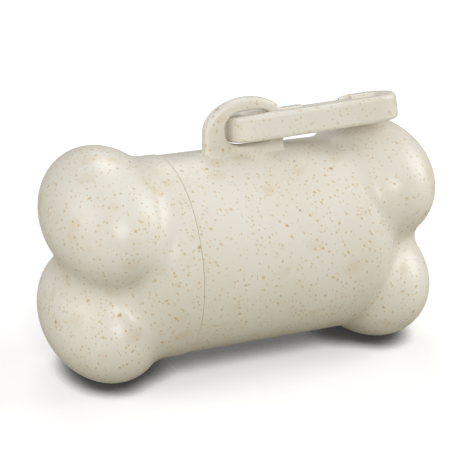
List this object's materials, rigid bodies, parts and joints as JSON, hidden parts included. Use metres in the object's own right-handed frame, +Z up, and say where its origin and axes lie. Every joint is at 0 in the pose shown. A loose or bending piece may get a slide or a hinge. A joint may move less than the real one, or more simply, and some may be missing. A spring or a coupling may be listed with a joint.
{
  "type": "waste bag dispenser",
  "caption": "Bone-shaped waste bag dispenser with a screw-on end cap, a slot for the bags, a top eyelet and a sprung carabiner clip.",
  "frame": {"origin": "middle of the face that the bone stands on, under the middle of its long axis", "axes": "+X along the bone to its closed end, -Y to the front, +Z up through the eyelet"},
  "size_m": [0.0832, 0.0404, 0.0541],
  "materials": {
    "straw_plastic": "satin, cream with brown and tan straw specks",
    "card": "matt card",
    "film": "soft matt film"
  },
  "bodies": {
    "body": {"body_shell": "straw_plastic"},
    "core": {"roll_core": "card"},
    "roll": {"bag_roll": "film"},
    "cap": {"end_cap": "straw_plastic"},
    "clip": {"clip_frame": "straw_plastic"},
    "gate": {"clip_gate": "straw_plastic"}
  },
  "joints": [
    {"name": "cap_travel", "type": "slide", "parent": "body", "child": "core", "axis": [1, 0, 0], "range_m": [-0.0045, 0]},
    {"name": "cap_turn", "type": "hinge", "parent": "core", "child": "cap", "pos_m": [-0.0163, 0, 0.0231], "axis": [1, 0, 0], "range_deg": [-450, 0]},
    {"name": "roll_spin", "type": "hinge", "parent": "core", "child": "roll", "pos_m": [0, 0, 0.0231], "axis": [1, 0, 0], "continuous": true},
    {"name": "clip_swing", "type": "hinge", "parent": "body", "child": "clip", "pos_m": [-0.00045, 0, 0.04765], "axis": [-0.1244, 0.9913, 0.0433], "range_deg": [-150, 0]},
    {"name": "gate_swing", "type": "hinge", "parent": "clip", "child": "gate", "pos_m": [0.01353, 0.0028, 0.04816], "axis": [-0.0722, 0.1844, 0.9802], "range_deg": [-22, 0], "stiffness_Nm_per_rad": 0.02, "springref_deg": 5.73}
  ],
  "couplings": [
    {"joint": "cap_travel", "follows": "cap_turn", "m_per_rad": 0.00057296}
  ]
}
